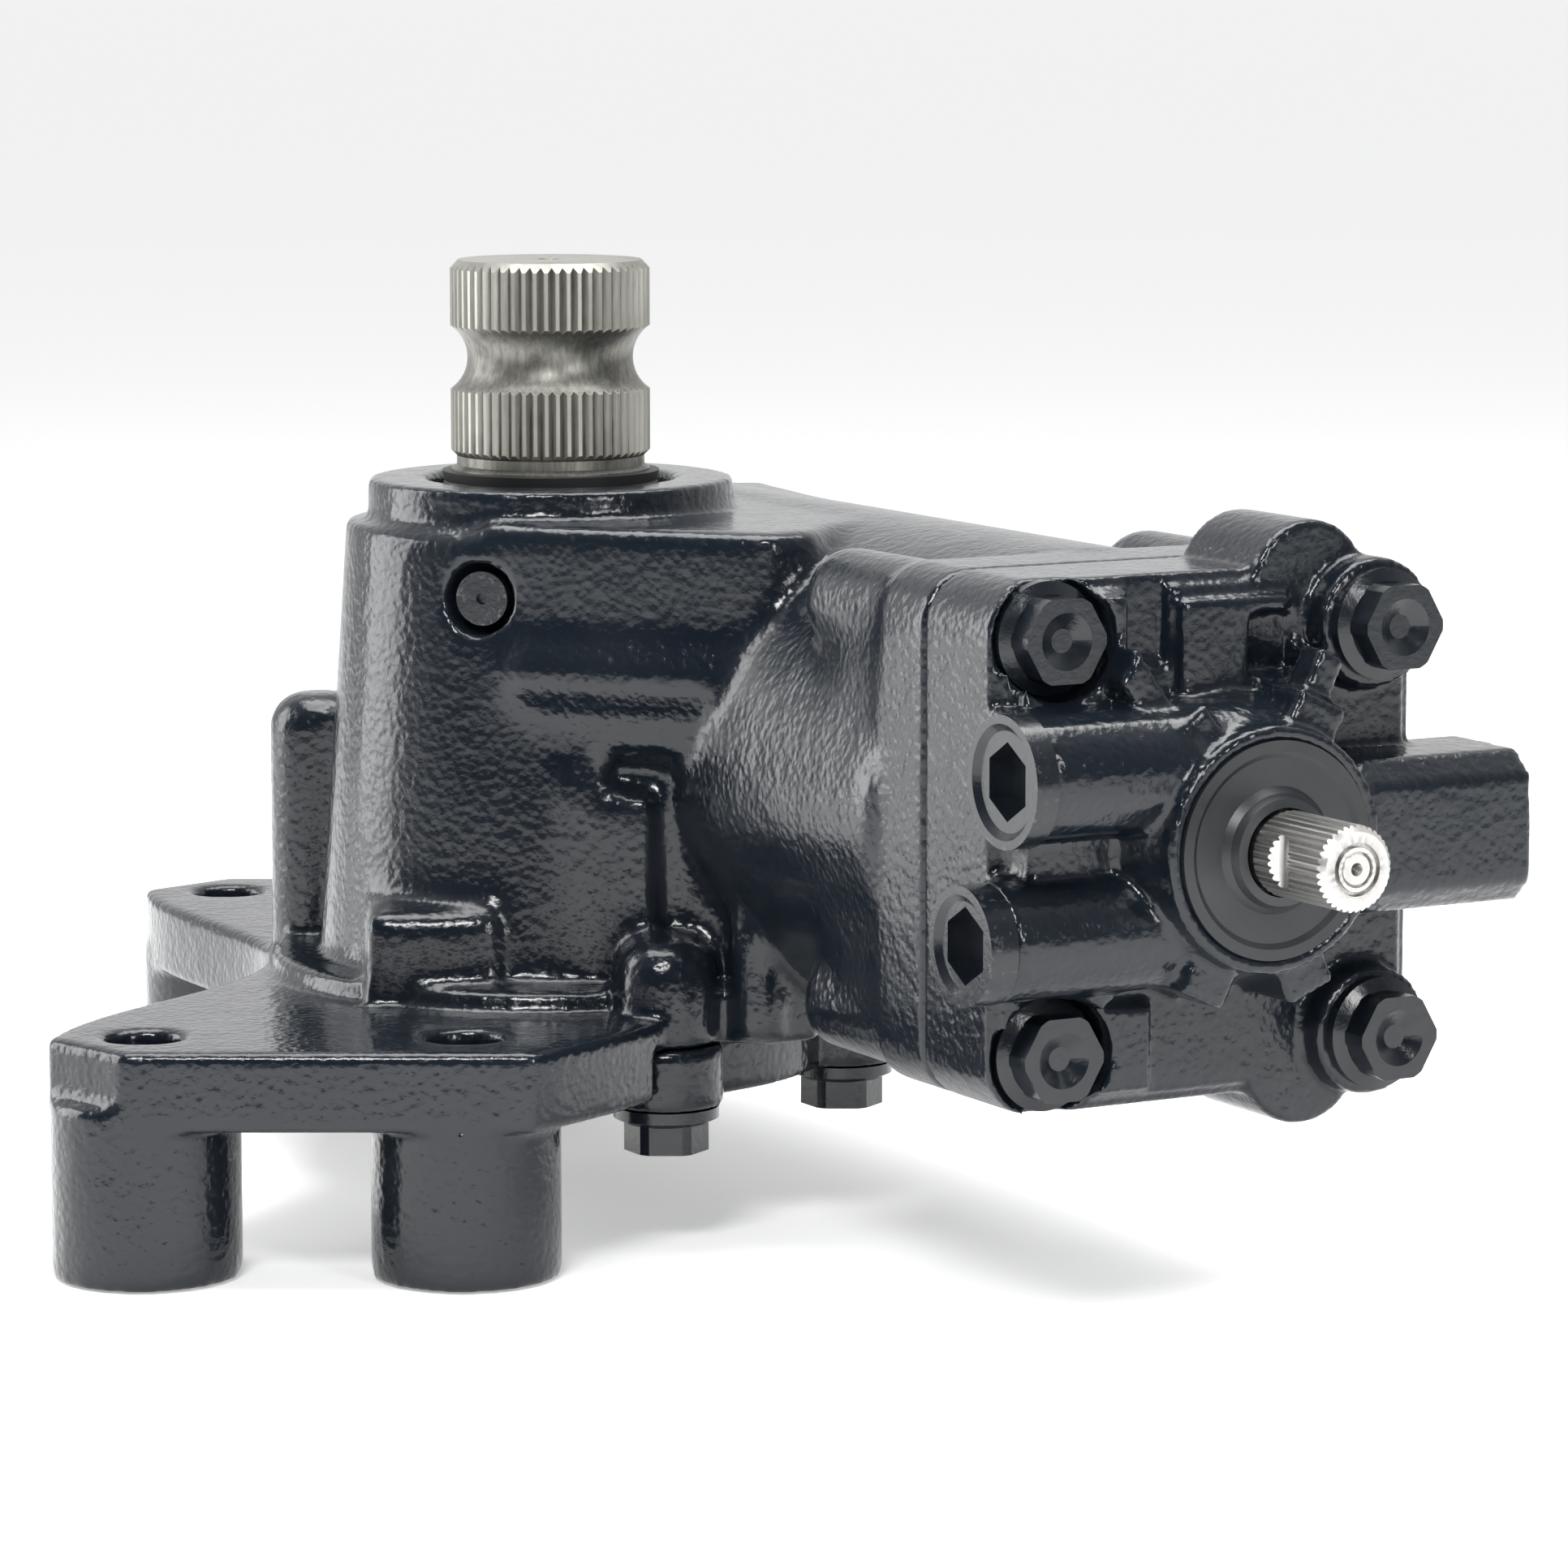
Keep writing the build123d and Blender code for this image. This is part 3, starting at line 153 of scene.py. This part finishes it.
def spread(material, value, low, high):
    """A value from 0..1 mapped to low..high."""
    node = add_node(material, "ShaderNodeMapRange")
    node.inputs["To Min"].default_value = low
    node.inputs["To Max"].default_value = high
    link(material, value, node.inputs["Value"])
    return node.outputs["Result"]


def add(material, first, second, weight=1.0):
    """first + weight * second."""
    node = add_node(material, "ShaderNodeMath")
    node.operation = "MULTIPLY_ADD"
    link(material, second, node.inputs[0])
    node.inputs[1].default_value = weight
    link(material, first, node.inputs[2])
    return node.outputs[0]


def bump(material, height, strength, distance, normal=None):
    """A bump normal."""
    node = add_node(material, "ShaderNodeBump", Strength=strength, Distance=distance)
    link(material, height, node.inputs["Height"])
    if normal is not None:
        link(material, normal, node.inputs["Normal"])
    return node.outputs["Normal"]


def edge_mask(material, low, high):
    """White on convex edges."""
    geometry = add_node(material, "ShaderNodeNewGeometry")
    node = add_node(material, "ShaderNodeMapRange")
    node.inputs["From Min"].default_value = low
    node.inputs["From Max"].default_value = high
    link(material, geometry.outputs["Pointiness"], node.inputs["Value"])
    return node.outputs["Result"]


def mix_colour(material, factor, first, second):
    """A mix of two colour sockets."""
    node = add_node(material, "ShaderNodeMix")
    node.data_type = "RGBA"
    link(material, factor, node.inputs["Factor"])
    for socket, value in ((node.inputs["A"], first), (node.inputs["B"], second)):
        if isinstance(value, tuple):
            socket.default_value = (*value, 1.0)
        else:
            link(material, value, socket)
    return node.outputs["Result"]


def cast_paint(name, cell=470.0, depth=0.0002, rough=(0.13, 0.25)):
    """Gloss black paint over a sand cast skin."""
    material, shader = new_material(name)
    vector = place(material)
    blotch = noise(material, vector, 28.0, 4.0)
    colour = ramp(material, blotch, ((0.3, (0.0035, 0.0062, 0.0105)), (0.7, (0.0075, 0.0105, 0.0145))))
    link(material, colour, shader.inputs["Base Color"])
    link(material, spread(material, noise(material, vector, 130.0, 5.0, 0.6), *rough),
         shader.inputs["Roughness"])
    skin = cells(material, vector, cell, 0.75)
    skin = add(material, skin, noise(material, vector, cell * 0.45, 3.0, 0.55), 1.6)
    skin = add(material, skin, noise(material, vector, cell * 3.2, 2.0, 0.6), 0.18)
    waves = bump(material, noise(material, vector, 42.0, 2.0), 0.35, 0.0016)
    link(material, bump(material, skin, 1.0, depth, waves), shader.inputs["Normal"])
    shader.inputs["Specular IOR Level"].default_value = 0.36
    shader.inputs["Coat Weight"].default_value = 0.18
    shader.inputs["Coat Roughness"].default_value = 0.08
    return material


def bolt_paint():
    """Gloss black paint on bolts, chipped to steel on the corners."""
    material, shader = new_material("painted_bolt")
    vector = place(material)
    chips = noise(material, vector, 500.0, 4.0, 0.65)
    edges = edge_mask(material, 0.58, 0.72)
    node = add_node(material, "ShaderNodeMath")
    node.operation = "MULTIPLY"
    link(material, edges, node.inputs[0])
    link(material, ramp(material, chips, ((0.56, (0, 0, 0)), (0.64, (0.6, 0.6, 0.6)))), node.inputs[1])
    worn = node.outputs[0]
    colour = mix_colour(material, worn, (0.006, 0.0085, 0.012), (0.32, 0.32, 0.31))
    link(material, colour, shader.inputs["Base Color"])
    link(material, worn, shader.inputs["Metallic"])
    polish = noise(material, vector, 300.0, 4.0)
    link(material, spread(material, polish, 0.12, 0.3), shader.inputs["Roughness"])
    skin = add(material, noise(material, vector, 520.0, 3.0), noise(material, vector, 1700.0, 2.0), 0.3)
    link(material, bump(material, skin, 0.7, 0.00012), shader.inputs["Normal"])
    return material


def steel(name, dark, light, rough, grain, stretch=(1, 1, 1), stain=0.4):
    """Bare steel with tool marks along the shaft and darker oil stains."""
    material, shader = new_material(name)
    vector = place(material, stretch)
    plain = place(material)
    marks = noise(material, vector, grain, 4.0, 0.65)
    stains = noise(material, plain, 70.0, 5.0, 0.6)
    base = ramp(material, marks, ((0.3, dark), (0.7, light)))
    stained = tuple(c * stain for c in dark)
    where_stained = ramp(material, stains, ((0.5, (0, 0, 0)), (0.72, (1, 1, 1))))
    colour = mix_colour(material, where_stained, base, stained)
    rubbed = tuple(min(1.0, c * 1.6) for c in light)
    worn = mix_colour(material, edge_mask(material, 0.52, 0.6), colour, rubbed)
    link(material, worn, shader.inputs["Base Color"])
    shader.inputs["Metallic"].default_value = 1.0
    link(material, spread(material, stains, *rough), shader.inputs["Roughness"])
    fine = add(material, marks, noise(material, plain, grain * 4, 2.0), 0.4)
    link(material, bump(material, fine, 0.5, 0.00006), shader.inputs["Normal"])
    return material


def rubber(name, colour, rough):
    """Moulded rubber with a faint bloom."""
    material, shader = new_material(name)
    vector = place(material)
    bloom = noise(material, vector, 60.0, 5.0, 0.6)
    lighter = tuple(c * 1.6 for c in colour)
    link(material, ramp(material, bloom, ((0.35, colour), (0.75, lighter))), shader.inputs["Base Color"])
    link(material, spread(material, bloom, *rough), shader.inputs["Roughness"])
    grain = noise(material, vector, 1800.0, 3.0)
    link(material, bump(material, grain, 0.35, 0.00005), shader.inputs["Normal"])
    return material


MATERIALS = {
    "cast_black": cast_paint("cast_paint"),
    "bolt_black": bolt_paint(),
    "forged_steel": steel("forged_steel", (0.12, 0.118, 0.106), (0.23, 0.226, 0.204), (0.36, 0.52), 900.0,
                          (1, 1, 0.12)),
    "bright_steel": steel("bright_steel", (0.3, 0.29, 0.28), (0.52, 0.51, 0.49), (0.24, 0.4), 1500.0),
    "ground_steel": steel("ground_steel", (0.3, 0.3, 0.3), (0.45, 0.45, 0.45), (0.2, 0.35), 1200.0),
    "bearing_steel": steel("bearing_steel", (0.55, 0.55, 0.56), (0.68, 0.68, 0.69), (0.08, 0.16), 2000.0),
    "spring_steel": steel("spring_steel", (0.1, 0.1, 0.1), (0.2, 0.19, 0.18), (0.3, 0.45), 1000.0),
    "brass_seat": steel("brass", (0.42, 0.28, 0.09), (0.62, 0.43, 0.16), (0.2, 0.35), 1500.0),
    "ptfe": rubber("filled_ptfe", (0.2, 0.15, 0.09), (0.45, 0.6)),
    "seal_rubber": rubber("seal_rubber", (0.008, 0.008, 0.009), (0.45, 0.65)),
    "cover_rubber": rubber("cover_rubber", (0.011, 0.013, 0.015), (0.3, 0.45)),
}
for row in frame["record"]["subparts"]:
    node = NODES[row["node"]]
    node.data.materials.clear()
    node.data.materials.append(MATERIALS[row["material_slot"]])


# ---- cast pieces: soft edges and a rough skin ---------------------------------------------
def ring_angles():
    """Evenly spaced angles round the worm axis."""
    return [2 * math.pi * k / RING_COUNT for k in range(RING_COUNT)]


def circle_ring(s, radius):
    """Points of a circle square to the worm axis."""
    return [worm_point(radius * math.cos(angle), radius * math.sin(angle), s) for angle in ring_angles()]


def plate_ring(s, half_width, half_height, power):
    """Points of a rounded rectangle square to the worm axis; a higher power has tighter corners."""
    points = []
    for angle in ring_angles():
        c, h = math.cos(angle), math.sin(angle)
        reach = ((abs(c) / half_width) ** power + (abs(h) / half_height) ** power) ** (-1 / power)
        points.append(worm_point(reach * c + PLATE_SHIFT, reach * h, s))
    return points


def loft(mesh, rings, closed=False):
    """Adds a skin through rings of points, with end caps or closed on itself."""
    loops = [[mesh.verts.new(point) for point in ring] for ring in rings]
    count = len(loops[0])
    for near, far in zip(loops, loops[1:] + loops[:1] if closed else loops[1:]):
        for k in range(count):
            n = (k + 1) % count
            mesh.faces.new((near[k], near[n], far[n], far[k]))
    if not closed:
        mesh.faces.new(reversed(loops[0]))
        mesh.faces.new(loops[-1])


def beam(mesh, start, end, width, low, high):
    """Adds an upright web between two plan points, in metres."""
    along = Vector((end[0] - start[0], end[1] - start[1], 0))
    side = Vector((-along.y, along.x, 0)).normalized() * width / 2
    corners = [Vector((*start, 0)) - side, Vector((*end, 0)) - side,
               Vector((*end, 0)) + side, Vector((*start, 0)) + side]
    loft(mesh, [[c + UP * z for c in corners] for z in (low, high)])


def housing_extras(mesh):
    """The flare behind the joint flange and the webs that tie the columns to the tower."""
    loft(mesh, [circle_ring(FLARE_REAR, 62), circle_ring(118, 64.5), plate_ring(152, 59.5, 62, 5.0),
                plate_ring(FLARE_FRONT, 61.2, 65.8, 9.0), circle_ring(FLARE_FRONT, FLARE_BORE_R),
                circle_ring(FLARE_REAR, FLARE_BORE_R)], closed=True)
    for angle, reach, top in COLUMN_WEBS:
        way = Vector((math.cos(math.radians(angle)), math.sin(math.radians(angle)), 0))
        wall = SECTOR + way * TOWER_WALL_R * MM
        column = SECTOR + way * reach * MM
        beam(mesh, (wall.x, wall.y), (column.x, column.y), WEB_WIDTH, WEB_LOW, top)


def ridge_arc(b, radius, s):
    """Points of the arc on the front of the ridge, from its lower to its upper end."""
    angles = [math.radians(RIDGE_STEP * k) for k in range(-RIDGE_STEPS, RIDGE_STEPS + 1)]
    return [worm_point(b, RIDGE_UP + radius * math.sin(angle), s + radius * math.cos(angle))
            for angle in angles]


def valve_extras(mesh):
    """A fuller front on the ridge round the upper plug's bore."""
    rings = []
    for b in (RIDGE_LEFT, RIDGE_RIGHT):
        skin = ridge_arc(b, RIDGE_SKIN_R, RIDGE_S)
        bore = ridge_arc(b, RIDGE_BORE_R, RIDGE_BORE_S)
        rings.append(skin + bore[::-1])
    loft(mesh, rings)


def fade(value, low, high):
    """0 at low, 1 at high, and straight between them."""
    return min(1.0, max(0.0, (value - low) / (high - low)))


def soft_weight(point):
    """How much a point of the housing is smoothed: the wall between tower and cylinder."""
    weight = fade(point.z, *SOFT_LOW) * fade(-point.z, *SOFT_TOP)
    weight *= fade(-point.y, *SOFT_REAR) * fade(-point.x, *SOFT_RIGHT)
    return weight * fade((point - BLEED).length, *SOFT_ROUND_PLUG)


def evaluated(piece):
    """The piece's mesh with its modifiers applied."""
    bpy.context.view_layer.update()
    depsgraph = bpy.context.evaluated_depsgraph_get()
    return bpy.data.meshes.new_from_object(piece.evaluated_get(depsgraph))


def apply_modifiers(piece):
    """Puts the evaluated mesh in the piece and clears its modifiers."""
    mesh = evaluated(piece)
    piece.modifiers.clear()
    piece.data = mesh
    return mesh


def remeshed(piece, voxel, smooth):
    """One closed skin over everything in the piece, with softened edges."""
    remesh = piece.modifiers.new("skin", "REMESH")
    remesh.mode = "VOXEL"
    remesh.voxel_size = voxel
    remesh.adaptivity = 0.0
    remesh.use_smooth_shade = True
    soften = piece.modifiers.new("soften", "CORRECTIVE_SMOOTH")
    soften.iterations = smooth
    soften.factor = 0.5
    soften.use_only_smooth = True
    return apply_modifiers(piece)


def blended(piece, mesh, weight):
    """The piece's mesh, smoothed as much as the weight function says."""
    group = piece.vertex_groups.new(name="soft")
    for vertex in mesh.vertices:
        group.add((vertex.index,), weight(vertex.co), "REPLACE")
    blend = piece.modifiers.new("blend", "SMOOTH")
    blend.iterations = BLEND_STEPS
    blend.vertex_group = group.name
    smoothed = evaluated(piece)
    piece.modifiers.clear()
    piece.vertex_groups.clear()
    piece.data = smoothed
    return smoothed


def thinned(piece, mesh):
    """The piece's mesh with no more triangles than the limit."""
    mesh.calc_loop_triangles()
    if len(mesh.loop_triangles) <= MOST_TRIANGLES:
        return mesh
    thin = piece.modifiers.new("thin", "DECIMATE")
    thin.ratio = MOST_TRIANGLES / len(mesh.loop_triangles)
    return apply_modifiers(piece)


def cast_piece(node_name, voxel, smooth, extra=None, weight=None):
    """A soft-edged copy of a CAD casting, with extra closed forms cast on."""
    mesh = bmesh.new()
    mesh.from_mesh(NODES[node_name].data)
    bmesh.ops.remove_doubles(mesh, verts=mesh.verts, dist=SAME_POINT)
    if extra:
        extra(mesh)
    data = bpy.data.meshes.new(node_name + "_cast")
    mesh.to_mesh(data)
    mesh.free()
    piece = bpy.data.objects.new(node_name + "_cast", data)
    bpy.context.scene.collection.objects.link(piece)
    final = remeshed(piece, voxel, smooth)
    if weight:
        final = blended(piece, final, weight)
    final = thinned(piece, final)
    for polygon in final.polygons:
        polygon.use_smooth = True
    final.materials.clear()
    final.materials.append(MATERIALS["cast_black"])
    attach(piece, "housing")
    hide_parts(node_name)


VOXEL = 0.0013
cast_piece("gear_housing", VOXEL, 5, housing_extras, soft_weight)
cast_piece("valve_housing", VOXEL * 0.85, 4, valve_extras)
cast_piece("side_cover", VOXEL * 1.3, 3)


# ---- stage, light and camera --------------------------------------------------------------
FLOOR_SIZE, FLOOR_SHADE, FLOOR_GLOW = 160, 0.9, 0.4
# name, place from the middle of the part, size and power of each soft box
SOFT_BOXES = (("overhead", (0, 0.1, 1.3), (1.4, 1.0), 30), ("left_side", (-1.5, 0.3, 0.4), (0.8, 1.2), 16),
              ("right_front", (0.9, -1.3, 0.5), (0.3, 0.55), 9),
              ("front_top", (-0.25, -1.2, 1.0), (0.45, 0.3), 15))
FRONT_SHADE, REAR_SHADE = (0.035, 0.04, 0.05, 1), (1.0, 1.0, 1.0, 1)
CAMERA_PLACE, CAMERA_DIP, LENS = (0.1255, -1.690, 0.3524), 8.07, 139.75


def pale_floor():
    """A wide white floor just under the part."""
    bpy.ops.mesh.primitive_plane_add(size=1, location=(0, 0, -0.0005))
    sheet = bpy.context.object
    sheet.name = "floor"
    sheet.scale = (FLOOR_SIZE, FLOOR_SIZE, 1)
    material, shader = new_material("floor")
    colour = (FLOOR_SHADE, FLOOR_SHADE, FLOOR_SHADE, 1)
    shader.inputs["Base Color"].default_value = colour
    shader.inputs["Roughness"].default_value = 0.9
    shader.inputs["Emission Color"].default_value = colour
    shader.inputs["Emission Strength"].default_value = FLOOR_GLOW
    sheet.data.materials.append(material)


def soft_box(name, offset, size, power):
    """A rectangular light aimed at the middle of the part."""
    middle = (CAD_LOW + CAD_HIGH) / 2
    data = bpy.data.lights.new(name, "AREA")
    data.shape = "RECTANGLE"
    data.size, data.size_y = size
    data.energy = power
    lamp = bpy.data.objects.new(name, data)
    bpy.context.scene.collection.objects.link(lamp)
    lamp.location = middle + Vector(offset)
    lamp.rotation_euler = (middle - lamp.location).to_track_quat("-Z", "Y").to_euler()


def studio_world():
    """A world that is dark behind the camera and white behind the part."""
    world = bpy.data.worlds.new("studio")
    bpy.context.scene.world = world
    world.use_nodes = True
    tree = world.node_tree
    coord = tree.nodes.new("ShaderNodeTexCoord")
    split = tree.nodes.new("ShaderNodeSeparateXYZ")
    depth = tree.nodes.new("ShaderNodeMapRange")
    shade = tree.nodes.new("ShaderNodeValToRGB")
    background = tree.nodes["Background"]
    tree.links.new(coord.outputs["Generated"], split.inputs["Vector"])
    tree.links.new(split.outputs["Y"], depth.inputs["Value"])
    depth.inputs["From Min"].default_value = -0.6
    depth.inputs["From Max"].default_value = 0.5
    shade.color_ramp.elements[0].color = FRONT_SHADE
    shade.color_ramp.elements[1].color = REAR_SHADE
    tree.links.new(depth.outputs["Result"], shade.inputs["Fac"])
    tree.links.new(shade.outputs["Color"], background.inputs["Color"])
    background.inputs["Strength"].default_value = 1.0


def main_camera():
    """The camera that looks at the part's front from a little above."""
    data = bpy.data.cameras.new("camera")
    camera = bpy.data.objects.new("camera", data)
    bpy.context.scene.collection.objects.link(camera)
    data.sensor_width = 36.0
    data.lens = LENS
    data.clip_end = 200
    camera.location = CAMERA_PLACE
    camera.rotation_euler = (math.radians(90 - CAMERA_DIP), 0, 0)
    bpy.context.scene.camera = camera


pale_floor()
for box in SOFT_BOXES:
    soft_box(*box)
studio_world()
main_camera()
bpy.context.scene.view_settings.view_transform = "Standard"
